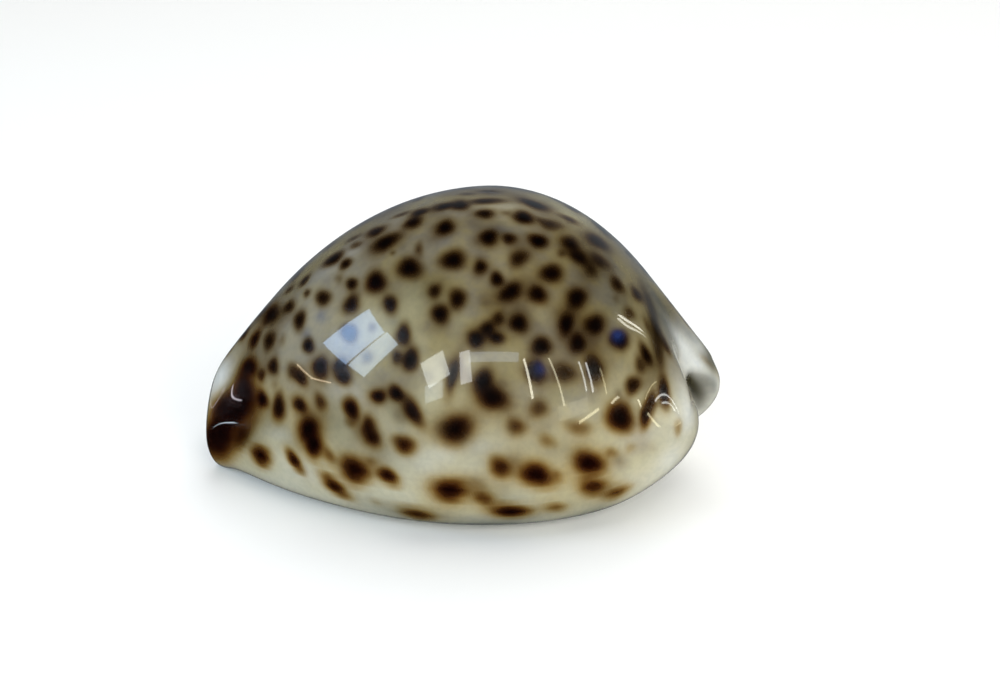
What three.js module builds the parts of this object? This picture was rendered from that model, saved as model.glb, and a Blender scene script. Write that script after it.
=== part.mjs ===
// Tiger cowrie shell: one hollow, closed solid in millimetres, +Z up, resting on its base at Z = 0.
// +X is the spire (posterior) end, -X the front (anterior) end, +Y the outer lip, -Y the inner lip.
// The surface is a stack of closed loops. They run from the top of the back down to the margin, across
// the base, over the toothed lips, in through the aperture and up around the cavity to its ceiling.
import * as THREE from 'three';

// driving dimensions of the whole shell
const height = 51.7;
const summitX = 9.2;

// plan outline, on the outer lip's side and on the inner lip's, which bulges more towards the spire
const planReach = 45;
const outerPlan = { halfWidth: 31.4, power: 2.3, bulge: 0.11 };
const innerPlan = { halfWidth: 33.2, power: 1.702, bulge: 0.209 };

// rise of the back from the margin: 0.5 is a plain ellipse, and a larger value leans the slope inwards
const steepness = { sides: 0.5, anterior: 0.874, posterior: 0.76, blend: 1.705 };
// how quickly the folds of the two canals die out up the back
const foldFade = { posterior: 7.4, anterior: 7 };

// aperture: a curved slit along the base that turns to the inner lip at the spire end
const aperture = { halfGap: 2.6, bow: 4.5, reach: 42, spireTurn: -3.5, anteriorReach: 0.975 };
const teeth = { count: 60, height: 1.15, groove: 0.35, sharpness: 1.3, innerLip: 0.85, bareEnd: 0.09, fade: 0.13 };

// control points of the canal ends. Each has the canal's roof and two lobes, one from each lip, and the
// smoothed surface stays a few millimetres inside these points.
const ends = {
  posterior: {
    roof: { x: 45.8, z: 23.2 },
    outerLobe: { upper: { x: 54, z: 17.9 }, lower: { x: 46.7, z: 9.1 }, spread: 1.03 },
    innerLobe: { upper: { x: 48.6, z: 15.8 }, lower: { x: 47.2, z: 9.2 }, spread: 1.16 },
    sink: 0,
  },
  anterior: {
    roof: { x: 43.3, z: 14.5 },
    outerLobe: { upper: { x: 43.2, z: 15.8 }, lower: { x: 44.1, z: 1.7 }, spread: 1.13 },
    innerLobe: { upper: { x: 41.8, z: 17.7 }, lower: { x: 43.2, z: -1.5 }, spread: 1.13 },
    sink: 1.3,
  },
};

// loops from the widest line of the shell to the throat. share is a part of the plan outline, and slit is
// a distance from the aperture's edge instead. z and endZ are heights at mid length and near the ends.
// roof, upper and lower are each [in from the end point, off the canal's middle, above the end point].
const loopShapes = [
  { name: 'margin', share: 1, z: 12.5, endZ: 12.5, reach: 42, tooth: 0,
    roof: [6, 0, 1.5], upper: [2.4, 6.8, 4.5], lower: [1.6, 11, 6.9] },
  { name: 'under', share: 0.955, z: 3.5, endZ: 4.9, reach: 41.5, tooth: 0,
    roof: [4.8, 0, 0.8], upper: [0.8, 5.8, 2], lower: [0.4, 9.2, 3.4] },
  { name: 'foot', share: 0.8, z: 0.6, endZ: 3.7, reach: 40.5, tooth: 0,
    roof: [4.1, 0, 0], upper: [0.8, 5, 0], lower: [0.8, 7.6, 0] },
  { name: 'sole', share: 0.6, z: -0.5, endZ: 2.8, reach: 39.5, tooth: 0,
    roof: [3.9, 0, -0.8], upper: [1.2, 4.3, -1], lower: [1.6, 6.4, -1.4] },
  { name: 'brink', slit: 5, z: -0.4, endZ: 2.8, reach: 39, tooth: 0.3,
    roof: [4.6, 0, -1.6], upper: [1.8, 3.7, -1.6], lower: [2.4, 5.2, -1.8] },
  { name: 'lip', slit: 1.6, z: 1, endZ: 3.6, reach: 38.5, tooth: 0.9,
    roof: [6.2, 0, -2.4], upper: [2.8, 3.2, -2], lower: [3.4, 4.2, -1.2] },
  { name: 'rim', slit: 0, z: 4, endZ: 5.2, reach: 37.5, tooth: 1,
    roof: [8.2, 0, -2.8], upper: [4.2, 2.7, -2.2], lower: [4.8, 3, 0.2] },
  { name: 'throat', slit: 0.8, z: 7.6, endZ: 8.6, reach: 36, tooth: 0.5,
    roof: [10.5, 0, -2.4], upper: [7.4, 2.9, -1.4], lower: [8.4, 3.4, 3] },
];
// stations along a side, as parts of the loop's reach from the middle towards the spire end
const stations = [0.92, 0.72, 0.48, 0.24, 0, -0.24, -0.48, -0.72, -0.92];

// cavity: the wall at the top, and its widest line's part of the outline and least height
const cavity = { wall: 3, across: 0.895, along: 0.87, wideZ: 14.5, mouthRise: 3 };
// between the throat and the widest line it has an edge and a floor, each a part of the way out
const cavityEdge = { along: 0.93, out: 0.4, z: 8 };
const cavityFloor = { out: 0.8, z: 7.5, rise: 1 };

// fineness of the mesh: three columns to a tooth, and every second column away from the teeth
const columns = 180;
const backLoops = 12;
const ceilingLoops = 7;
const baseSteps = 2;
const samples = 1400;
// rows that the teeth mark less than this have no use for every column
const faintTooth = 0.02;

// side is +1 for the outer lip and -1 for the inner lip; way is +1 at the spire end and -1 at the front
const planHalfWidth = (x, side) => {
  const plan = side > 0 ? outerPlan : innerPlan;
  const u = x / planReach;
  return plan.halfWidth * Math.sqrt(1 - Math.abs(u) ** plan.power) * (1 + plan.bulge * u);
};

const slitY = (x) => {
  const u = x / aperture.reach;
  return aperture.bow * (1 - u * u) + aperture.spireTurn * Math.max(u, 0) ** 3;
};

const lobePoints = (shape, way, side) => {
  const end = way > 0 ? ends.posterior : ends.anterior;
  const lobe = side > 0 ? end.outerLobe : end.innerLobe;
  const middle = slitY(shape.reach * (way > 0 ? 1 : -aperture.anteriorReach));
  return ['upper', 'lower'].map((level) => {
    const [inward, off, lift] = shape[level];
    const y = middle + side * off * lobe.spread;
    return new THREE.Vector3(way * (lobe[level].x - inward), y, lobe[level].z + lift);
  });
};

const roofPoint = (shape, way) => {
  const end = way > 0 ? ends.posterior : ends.anterior;
  const middle = slitY(shape.reach * (way > 0 ? 1 : -aperture.anteriorReach));
  return new THREE.Vector3(way * (end.roof.x - shape.roof[0]), middle, end.roof.z + shape.roof[2]);
};

const sidePoints = (shape, side) => stations.map((u) => {
  const end = u > 0 ? ends.posterior : ends.anterior;
  const x = shape.reach * u * (u > 0 ? 1 : aperture.anteriorReach);
  const fromPlan = side * shape.share * planHalfWidth(x, side);
  const fromSlit = slitY(x) + side * (shape.slit + aperture.halfGap);
  const z = THREE.MathUtils.lerp(shape.z, shape.endZ - end.sink, Math.abs(u) ** 4);
  return new THREE.Vector3(x, shape.share ? fromPlan : fromSlit, z);
});

// starts at the roof of the spire canal and runs round by the outer lip
const loopControls = (shape) => [
  roofPoint(shape, 1),
  ...lobePoints(shape, 1, 1),
  ...sidePoints(shape, 1),
  ...lobePoints(shape, -1, 1).reverse(),
  roofPoint(shape, -1),
  ...lobePoints(shape, -1, -1),
  ...sidePoints(shape, -1).reverse(),
  ...lobePoints(shape, 1, -1).reverse(),
];

// uniform cubic B-spline
const splineWeights = (t) => [
  (1 - t) ** 3 / 6,
  (3 * t ** 3 - 6 * t ** 2 + 4) / 6,
  (-3 * t ** 3 + 3 * t ** 2 + 3 * t + 1) / 6,
  t ** 3 / 6,
];

const blend = (points, weights) => {
  const sum = new THREE.Vector3();
  points.forEach((point, k) => sum.addScaledVector(point, weights[k]));
  return sum;
};

const splineLoop = (controls, count) => Array.from({ length: count }, (_, k) => {
  const at = k / count * controls.length;
  const i = Math.floor(at);
  const near = [-1, 0, 1, 2].map((d) => controls[(i + d + controls.length) % controls.length]);
  return blend(near, splineWeights(at - i));
});

// equal steps along each half, so that a column keeps its place on the lip from loop to loop
const spaceEvenly = (loop, count) => {
  const half = loop.length / 2;
  return [0, half].flatMap((start) => {
    const path = Array.from({ length: half + 1 }, (_, k) => loop[(start + k) % loop.length]);
    const along = [0];
    for (let k = 1; k < path.length; k += 1) {
      along.push(along[k - 1] + path[k].distanceTo(path[k - 1]));
    }
    let k = 0;
    return Array.from({ length: count / 2 }, (_, c) => {
      const want = along[half] * c / (count / 2);
      while (along[k + 1] <= want) {
        k += 1;
      }
      return path[k].clone().lerp(path[k + 1], (want - along[k]) / (along[k + 1] - along[k]));
    });
  });
};

// the back: the plan spreads from the summit as an egg and takes up the margin's folds near the edge
const backShape = (margin) => {
  const frontEdge = summitX - Math.min(...margin.map((p) => p.x));
  const spireEdge = Math.max(...margin.map((p) => p.x)) - summitX;
  const sideEdge = Math.max(...margin.map((p) => Math.abs(p.y)));
  const meanZ = margin.reduce((sum, p) => sum + p.z, 0) / margin.length;
  return margin.map((edge) => {
    const fromSummit = edge.x - summitX;
    const angle = Math.atan2(edge.y / sideEdge, fromSummit / (fromSummit > 0 ? spireEdge : frontEdge));
    const cos = Math.cos(angle);
    const toEnd = Math.abs(cos) ** steepness.blend;
    const endSteepness = cos > 0 ? steepness.posterior : steepness.anterior;
    const midLength = (spireEdge + frontEdge) / 2 + (spireEdge - frontEdge) / 2 * cos;
    return {
      edge,
      meanZ,
      eggX: midLength * cos,
      eggY: sideEdge * Math.sin(angle),
      power: THREE.MathUtils.lerp(steepness.sides, endSteepness, toEnd),
      fold: THREE.MathUtils.lerp(foldFade.anterior, foldFade.posterior, (cos + 1) / 2),
    };
  });
};

const backLoop = (shape, spread) => shape.map(({ edge, meanZ, eggX, eggY, power, fold }) => {
  const folded = spread ** fold;
  const x = summitX + spread * THREE.MathUtils.lerp(eggX, edge.x - summitX, folded);
  const y = spread * THREE.MathUtils.lerp(eggY, edge.y, folded);
  const z = THREE.MathUtils.lerp(meanZ, edge.z, folded);
  return new THREE.Vector3(x, y, z + (height - z) * (1 - spread ** 2) ** power);
});

const cavityLoops = (shape, throat) => {
  const ceiling = height - cavity.wall;
  const wide = shape.map(({ edge }, c) => new THREE.Vector3(
    summitX + (edge.x - summitX) * cavity.along,
    edge.y * cavity.across,
    Math.max(cavity.wideZ, throat[c].z + cavity.mouthRise),
  ));
  const edgeLoop = throat.map((p, c) => new THREE.Vector3(
    p.x * cavityEdge.along,
    THREE.MathUtils.lerp(p.y, wide[c].y, cavityEdge.out),
    Math.max(cavityEdge.z, p.z),
  ));
  const floorLoop = throat.map((p, c) => {
    const point = p.clone().lerp(wide[c], cavityFloor.out);
    return point.setZ(Math.max(cavityFloor.z, p.z + cavityFloor.rise));
  });
  const rising = Array.from({ length: ceilingLoops - 1 }, (_, k) => {
    const spread = Math.cos((k + 1) / ceilingLoops * Math.PI / 2);
    return wide.map((p, c) => new THREE.Vector3(
      summitX + spread * (p.x - summitX),
      spread * p.y,
      p.z + (ceiling - p.z) * (1 - spread ** 2) ** shape[c].power,
    ));
  });
  return [edgeLoop, floorLoop, wide, ...rising];
};

const opposite = (loop) => loop.map((_, c) => loop[(c + columns / 2) % columns]);

// each row of the surface keeps how strongly the teeth mark it
const surfaceRows = () => {
  const baseLoops = loopShapes.map((loop) => spaceEvenly(splineLoop(loopControls(loop), samples), columns));
  const shape = backShape(baseLoops[0]);
  const back = Array.from({ length: backLoops - 1 }, (_, k) => (
    backLoop(shape, Math.sin((k + 1) / backLoops * Math.PI / 2))
  ));
  const inside = cavityLoops(shape, baseLoops.at(-1));
  const pole = (z) => Array.from({ length: columns }, () => new THREE.Vector3(summitX, 0, z));
  const controls = [
    opposite(back[0]), pole(height), ...back, ...baseLoops, ...inside,
    pole(height - cavity.wall), opposite(inside.at(-1)),
  ];
  const toothMarks = controls.map(() => 0);
  loopShapes.forEach(({ tooth }, k) => { toothMarks[k + 2 + back.length] = tooth; });

  const firstBase = 1 + back.length;
  const lastBase = firstBase + loopShapes.length;
  const rows = [];
  for (let i = 1; i < controls.length - 1; i += 1) {
    const last = i === controls.length - 2;
    const steps = i >= firstBase && i < lastBase ? baseSteps : 1;
    for (let step = 0; step < steps; step += 1) {
      const start = last ? i - 1 : i;
      const weights = splineWeights(last ? 1 : step / steps);
      const near = controls.slice(start - 1, start + 3);
      const points = near[0].map((_, c) => blend(near.map((loop) => loop[c]), weights));
      const tooth = weights.reduce((sum, w, k) => sum + w * toothMarks[start - 1 + k], 0);
      rows.push({ points, tooth });
    }
  }
  return rows;
};

// how far a column stands out as a tooth: a ridge at every third column, none in the canals
const toothWave = (c) => {
  const turn = c / columns * teeth.count * 2 * Math.PI;
  const ridge = (0.5 + 0.5 * Math.cos(turn)) ** teeth.sharpness - teeth.groove;
  const along = (c / columns * 2) % 1;
  const toCanal = Math.min(along, 1 - along);
  const fromCanal = THREE.MathUtils.smoothstep(toCanal, teeth.bareEnd, teeth.bareEnd + teeth.fade);
  return teeth.height * ridge * fromCanal * (c < columns / 2 ? 1 : teeth.innerLip);
};

// pushes the lips out along their own normals, then flattens what would pass below the resting plane
const carveTeeth = (rows) => rows.map(({ points, tooth }, i) => {
  const before = rows[Math.max(i - 1, 0)].points;
  const after = rows[Math.min(i + 1, rows.length - 1)].points;
  const carved = points.map((point, c) => {
    const around = points[(c + 1) % columns].clone().sub(points[(c - 1 + columns) % columns]);
    const inward = after[c].clone().sub(before[c]);
    const normal = inward.cross(around).normalize();
    const moved = point.clone().addScaledVector(normal, tooth * toothWave(c));
    return moved.setZ(Math.max(moved.z, 0));
  });
  return { points: carved, stride: tooth > faintTooth ? 1 : 2 };
});

const average = (points) => {
  const sum = new THREE.Vector3();
  points.forEach((point) => sum.add(point));
  return sum.divideScalar(points.length);
};

// a closed skin of triangles over the rows, with a fan at the summit and one at the ceiling
const skin = (rows) => {
  const vertices = [];
  const triangles = [];
  const addVertex = (point) => vertices.push(point) - 1;
  const rings = rows.slice(1, -1).map(({ points, stride }) => {
    const marks = points.map((point, c) => (c % stride === 0 ? addVertex(point) : null));
    return { marks, stride };
  });
  const summit = addVertex(average(rows[0].points));
  const ceiling = addVertex(average(rows.at(-1).points));

  const joinStrip = (upper, lower) => {
    const stride = Math.max(upper.stride, lower.stride);
    for (let c = 0; c < columns; c += stride) {
      const next = (c + stride) % columns;
      const a = upper.marks[c];
      const b = upper.marks[next];
      const d = lower.marks[c];
      const e = lower.marks[next];
      if (upper.stride === lower.stride) {
        triangles.push([a, e, b], [a, d, e]);
      } else if (upper.stride > lower.stride) {
        const middle = lower.marks[c + 1];
        triangles.push([a, middle, b], [a, d, middle], [b, middle, e]);
      } else {
        const middle = upper.marks[c + 1];
        triangles.push([a, d, middle], [middle, d, e], [middle, e, b]);
      }
    }
  };
  rings.slice(1).forEach((lower, k) => joinStrip(rings[k], lower));

  const first = rings[0];
  const last = rings.at(-1);
  for (let c = 0; c < columns; c += 2) {
    const next = (c + 2) % columns;
    triangles.push([summit, first.marks[c], first.marks[next]]);
    triangles.push([ceiling, last.marks[next], last.marks[c]]);
  }

  const geometry = new THREE.BufferGeometry();
  const positions = vertices.flatMap((v) => v.toArray());
  geometry.setAttribute('position', new THREE.Float32BufferAttribute(positions, 3));
  geometry.setIndex(triangles.flat());
  geometry.computeVertexNormals();
  return geometry;
};

// the origin is on the resting plane, under the middle of the shell's length and width
const centreOnBase = (geometry) => {
  geometry.computeBoundingBox();
  const centre = geometry.boundingBox.getCenter(new THREE.Vector3());
  return geometry.translate(-centre.x, -centre.y, 0);
};

const enamel = new THREE.MeshStandardMaterial({ color: 0xc9c2a6, roughness: 0.15, metalness: 0 });
const shell = new THREE.Mesh(centreOnBase(skin(carveTeeth(surfaceRows()))), enamel);
shell.name = 'shell';

const cowrie = new THREE.Group();
cowrie.add(shell);

export default cowrie;
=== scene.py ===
import math

import bpy
import numpy as np
from mathutils import Matrix, Vector


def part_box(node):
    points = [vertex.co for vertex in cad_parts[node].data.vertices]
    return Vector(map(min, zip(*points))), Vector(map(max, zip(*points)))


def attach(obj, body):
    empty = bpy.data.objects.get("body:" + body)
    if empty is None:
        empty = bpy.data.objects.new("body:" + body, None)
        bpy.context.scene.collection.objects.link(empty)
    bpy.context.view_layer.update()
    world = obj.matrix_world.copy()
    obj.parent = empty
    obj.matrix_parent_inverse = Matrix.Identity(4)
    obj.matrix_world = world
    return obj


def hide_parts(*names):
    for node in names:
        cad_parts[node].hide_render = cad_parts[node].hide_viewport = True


# Tiger cowrie shell lying on its base on a pale table top, under soft studio lights.
# The spire end is +X, the front end -X, the outer lip +Y and the inner lip -Y.
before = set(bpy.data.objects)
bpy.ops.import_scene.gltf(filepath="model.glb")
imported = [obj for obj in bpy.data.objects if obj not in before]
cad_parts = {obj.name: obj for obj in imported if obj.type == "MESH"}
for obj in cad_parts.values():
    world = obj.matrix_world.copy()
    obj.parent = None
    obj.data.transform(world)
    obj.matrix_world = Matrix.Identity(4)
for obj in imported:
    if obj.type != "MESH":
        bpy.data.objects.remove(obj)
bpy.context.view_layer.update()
print("frame loaded:", sorted(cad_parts))

mm = 0.001

# the camera stands where the photo was taken from
photoCamera = {
    "azimuth": 8.51,        # degrees round from straight in front of the inner lip
    "elevation": 21.14,     # degrees above the table
    "distance": 280,        # millimetres from the aim
    "aim": (-1.65, 0, 20),  # a point near the middle of the shell
    "slide": (8.91, 2.48),  # how far camera and aim move across and up the picture
    "lens": 56.09,
    "sensor": 36,
    "clipStart": 0.01,      # metres
}
photoSize = (1000, 695)


def cameraAxes(azimuth, elevation):
    a, e = math.radians(azimuth), math.radians(elevation)
    back = np.array([math.sin(a) * math.cos(e), -math.cos(a) * math.cos(e), math.sin(e)])
    right = np.array([math.cos(a), math.sin(a), 0.0])
    return right, np.cross(back, right), back


cameraRight, cameraUp, cameraBack = cameraAxes(photoCamera["azimuth"], photoCamera["elevation"])
cameraAim = (np.array(photoCamera["aim"])
             + photoCamera["slide"][0] * cameraRight + photoCamera["slide"][1] * cameraUp)
cameraPlace = cameraAim + photoCamera["distance"] * cameraBack
pixelsPerSlope = photoSize[0] * photoCamera["lens"] / photoCamera["sensor"]


def addCamera():
    data = bpy.data.cameras.new("photo camera")
    data.lens = photoCamera["lens"]
    data.sensor_width = photoCamera["sensor"]
    data.sensor_fit = "HORIZONTAL"
    data.clip_start = photoCamera["clipStart"]
    camera = bpy.data.objects.new("photo camera", data)
    bpy.context.scene.collection.objects.link(camera)
    axes = Matrix((cameraRight, cameraUp, cameraBack)).transposed()
    camera.matrix_world = Matrix.Translation(Vector(cameraPlace * mm)) @ axes.to_4x4()
    bpy.context.scene.camera = camera
    print("camera placed, millimetres:", cameraPlace.round(1))


def photoPixels(points):
    # where points show in the photo, and how far in front of the camera they are
    away = points - cameraPlace
    depth = -(away @ cameraBack)
    x = photoSize[0] / 2 + pixelsPerSlope * (away @ cameraRight) / depth
    y = photoSize[1] / 2 - pixelsPerSlope * (away @ cameraUp) / depth
    return np.stack([x, y], -1), depth


# the shell's form, in millimetres
shellForm = {
    "height": 51.7, "summitX": 9.2,
    # the plan outline on the outer lip's side and on the inner lip's
    "planReach": 45,
    "outerPlan": {"halfWidth": 31.4, "power": 2.3, "bulge": 0.11},
    "innerPlan": {"halfWidth": 33.2, "power": 1.702, "bulge": 0.209},
    # how square the back's slopes are, and how far in from the edge its folds fade
    "steepSides": 0.5, "steepFront": 0.874, "steepSpire": 0.76, "steepBlend": 1.705,
    "foldFadeSpire": 7.4, "foldFadeFront": 7,
    # the aperture is a bowed slit that turns to the inner lip at the spire end
    "slitHalfGap": 2.6, "slitBow": 4.5, "slitReach": 42, "slitTurn": -3.5, "frontReach": 0.975,
    "endCurl": 4,  # how late along the base its loops rise to the ends
    # the hollow inside: shares of the margin's plan, heights, and shares of the way out from the throat
    "wall": 3, "cavityAcross": 0.895, "cavityAlong": 0.87, "cavityWideZ": 14.5, "mouthRise": 3,
    "cavityEdgeAlong": 0.93, "cavityEdgeOut": 0.4, "cavityEdgeZ": 8,
    "cavityFloorOut": 0.8, "cavityFloorZ": 7.5, "cavityFloorRise": 1,
}
shellTeeth = {
    "count": 60, "height": 1.15, "groove": 0.35, "sharpness": 1.3, "innerLip": 0.85,
    "bareEnd": 0.09, "fade": 0.13,
}
# control points at the two canals: the roof, and an upper and a lower point on each lip's lobe
shellEnds = {
    "spire": {
        "roof": (45.8, 23.2), "sink": 0,
        "outer": {"upper": (54, 17.9), "lower": (46.7, 9.1), "spread": 1.03},
        "inner": {"upper": (48.6, 15.8), "lower": (47.2, 9.2), "spread": 1.16},
    },
    "front": {
        "roof": (43.3, 14.5), "sink": 1.3,
        "outer": {"upper": (43.2, 15.8), "lower": (44.1, 1.7), "spread": 1.13},
        "inner": {"upper": (41.8, 17.7), "lower": (43.2, -1.5), "spread": 1.13},
    },
}
# closed loops from the shell's widest line in to the throat. share is a part of the plan outline and slit
# a distance from the aperture. roof is how far in from the end and up, and upper and lower are how far in
# from the end, off the canal's middle, and up
shellLoops = {
    "margin": {"share": 1, "z": 12.5, "endZ": 12.5, "reach": 42, "tooth": 0,
               "roof": (6.0, 1.5), "upper": (2.4, 6.8, 4.5), "lower": (1.6, 11.0, 6.9)},
    "under": {"share": 0.955, "z": 3.5, "endZ": 4.9, "reach": 41.5, "tooth": 0,
              "roof": (4.8, 0.8), "upper": (0.8, 5.8, 2.0), "lower": (0.4, 9.2, 3.4)},
    "foot": {"share": 0.8, "z": 0.6, "endZ": 3.7, "reach": 40.5, "tooth": 0,
             "roof": (4.1, 0), "upper": (0.8, 5.0, 0), "lower": (0.8, 7.6, 0)},
    "sole": {"share": 0.6, "z": -0.5, "endZ": 2.8, "reach": 39.5, "tooth": 0,
             "roof": (3.9, -0.8), "upper": (1.2, 4.3, -1.0), "lower": (1.6, 6.4, -1.4)},
    "brink": {"slit": 5.0, "z": -0.4, "endZ": 2.8, "reach": 39, "tooth": 0.3,
              "roof": (4.6, -1.6), "upper": (1.8, 3.7, -1.6), "lower": (2.4, 5.2, -1.8)},
    "lip": {"slit": 1.6, "z": 1.0, "endZ": 3.6, "reach": 38.5, "tooth": 0.9,
            "roof": (6.2, -2.4), "upper": (2.8, 3.2, -2.0), "lower": (3.4, 4.2, -1.2)},
    "rim": {"slit": 0, "z": 4.0, "endZ": 5.2, "reach": 37.5, "tooth": 1,
            "roof": (8.2, -2.8), "upper": (4.2, 2.7, -2.2), "lower": (4.8, 3.0, 0.2)},
    "throat": {"slit": 0.8, "z": 7.6, "endZ": 8.6, "reach": 36, "tooth": 0.5,
               "roof": (10.5, -2.4), "upper": (7.4, 2.9, -1.4), "lower": (8.4, 3.4, 3.0)},
}
# where along each side a loop has its control points, as shares of its reach
sideStations = np.array([0.92, 0.72, 0.48, 0.24, 0, -0.24, -0.48, -0.72, -0.92])
meshFineness = {
    "columns": 540, "samples": 5600,
    "backLoops": 12, "ceilingLoops": 7,
    "backSteps": 11, "baseSteps": 5, "insideSteps": 1,
}


def mixed(a, b, share):
    return a + (b - a) * share


def smoothStep(low, high, value):
    t = np.clip((value - low) / (high - low), 0, 1)
    return t * t * (3 - 2 * t)


def planHalfWidth(x, side):
    plan = shellForm["outerPlan" if side > 0 else "innerPlan"]
    reach = shellForm["planReach"]
    u = np.minimum(np.abs(x) / reach, 0.999)  # stops just short of the tip
    return plan["halfWidth"] * np.sqrt(1 - u ** plan["power"]) * (1 + plan["bulge"] * x / reach)


def slitY(x):
    u = x / shellForm["slitReach"]
    return shellForm["slitBow"] * (1 - u * u) + shellForm["slitTurn"] * np.maximum(u, 0) ** 3


# way is +1 at the spire end and -1 at the front, side is +1 at the outer lip and -1 at the inner lip
def canalMiddle(loop, way):
    return slitY(loop["reach"] * (1 if way > 0 else -shellForm["frontReach"]))


def lobePoints(loop, way, side):
    lobe = shellEnds["spire" if way > 0 else "front"]["outer" if side > 0 else "inner"]
    points = []
    for level in ("upper", "lower"):
        inward, off, lift = loop[level]
        x, z = lobe[level]
        points.append((way * (x - inward), canalMiddle(loop, way) + side * off * lobe["spread"], z + lift))
    return points


def roofPoint(loop, way):
    x, z = shellEnds["spire" if way > 0 else "front"]["roof"]
    inward, lift = loop["roof"]
    return (way * (x - inward), canalMiddle(loop, way), z + lift)


def sidePoints(loop, side):
    towardsSpire = sideStations > 0
    x = loop["reach"] * sideStations * np.where(towardsSpire, 1, shellForm["frontReach"])
    if "share" in loop:
        y = side * loop["share"] * planHalfWidth(x, side)
    else:
        y = slitY(x) + side * (loop["slit"] + shellForm["slitHalfGap"])
    sink = np.where(towardsSpire, shellEnds["spire"]["sink"], shellEnds["front"]["sink"])
    z = mixed(loop["z"], loop["endZ"] - sink, np.abs(sideStations) ** shellForm["endCurl"])
    return list(zip(x, y, z))


def loopControls(loop):
    # from the spire canal's roof, round by the outer lip
    return np.array(
        [roofPoint(loop, 1)] + lobePoints(loop, 1, 1) + sidePoints(loop, 1)
        + lobePoints(loop, -1, 1)[::-1] + [roofPoint(loop, -1)] + lobePoints(loop, -1, -1)
        + sidePoints(loop, -1)[::-1] + lobePoints(loop, 1, -1)[::-1]
    )


def splineWeights(t):
    return [(1 - t) ** 3 / 6, (3 * t ** 3 - 6 * t ** 2 + 4) / 6,
            (-3 * t ** 3 + 3 * t ** 2 + 3 * t + 1) / 6, t ** 3 / 6]


def splineLoop(controls, count):
    at = np.arange(count) / count * len(controls)
    i = np.floor(at).astype(int)
    weights = splineWeights((at - i)[:, None])
    return sum(w * controls[(i + k - 1) % len(controls)] for k, w in enumerate(weights))


def spacedEvenly(loop, count):
    # equal steps along each half, so that a column keeps its place on the lip from loop to loop
    half = len(loop) // 2
    halves = []
    for start in (0, half):
        path = loop[np.arange(start, start + half + 1) % len(loop)]
        along = np.concatenate([[0], np.cumsum(np.linalg.norm(np.diff(path, axis=0), axis=1))])
        wanted = np.linspace(0, along[-1], count // 2 + 1)[:-1]
        halves.append(np.stack([np.interp(wanted, along, path[:, k]) for k in range(3)], 1))
    return np.concatenate(halves)


def backLoops(margin):
    # the plan spreads from the summit as an egg, and takes up the margin's folds near the edge
    form = shellForm
    frontEdge = form["summitX"] - margin[:, 0].min()
    spireEdge = margin[:, 0].max() - form["summitX"]
    sideEdge = np.abs(margin[:, 1]).max()
    meanZ = margin[:, 2].mean()
    fromSummit = margin[:, 0] - form["summitX"]
    angle = np.arctan2(margin[:, 1] / sideEdge, fromSummit / np.where(fromSummit > 0, spireEdge, frontEdge))
    cos = np.cos(angle)
    eggX = ((spireEdge + frontEdge) / 2 + (spireEdge - frontEdge) / 2 * cos) * cos
    eggY = sideEdge * np.sin(angle)
    endSteep = np.where(cos > 0, form["steepSpire"], form["steepFront"])
    power = mixed(form["steepSides"], endSteep, np.abs(cos) ** form["steepBlend"])
    fold = mixed(form["foldFadeFront"], form["foldFadeSpire"], (cos + 1) / 2)
    loops = []
    for k in range(1, meshFineness["backLoops"]):
        spread = math.sin(k / meshFineness["backLoops"] * math.pi / 2)
        folded = spread ** fold
        x = form["summitX"] + spread * mixed(eggX, fromSummit, folded)
        y = spread * mixed(eggY, margin[:, 1], folded)
        z = mixed(meanZ, margin[:, 2], folded)
        loops.append(np.stack([x, y, z + (form["height"] - z) * (1 - spread ** 2) ** power], 1))
    return loops, power


def cavityLoops(margin, throat, power):
    form = shellForm
    ceiling = form["height"] - form["wall"]
    wide = np.stack([
        form["summitX"] + (margin[:, 0] - form["summitX"]) * form["cavityAlong"],
        margin[:, 1] * form["cavityAcross"],
        np.maximum(form["cavityWideZ"], throat[:, 2] + form["mouthRise"]),
    ], 1)
    edge = np.stack([
        throat[:, 0] * form["cavityEdgeAlong"],
        mixed(throat[:, 1], wide[:, 1], form["cavityEdgeOut"]),
        np.maximum(form["cavityEdgeZ"], throat[:, 2]),
    ], 1)
    floor = mixed(throat, wide, form["cavityFloorOut"])
    floor[:, 2] = np.maximum(form["cavityFloorZ"], throat[:, 2] + form["cavityFloorRise"])
    rising = []
    for k in range(1, meshFineness["ceilingLoops"]):
        spread = math.cos(k / meshFineness["ceilingLoops"] * math.pi / 2)
        x = form["summitX"] + spread * (wide[:, 0] - form["summitX"])
        z = wide[:, 2] + (ceiling - wide[:, 2]) * (1 - spread ** 2) ** power
        rising.append(np.stack([x, spread * wide[:, 1], z], 1))
    return [edge, floor, wide] + rising


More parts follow.
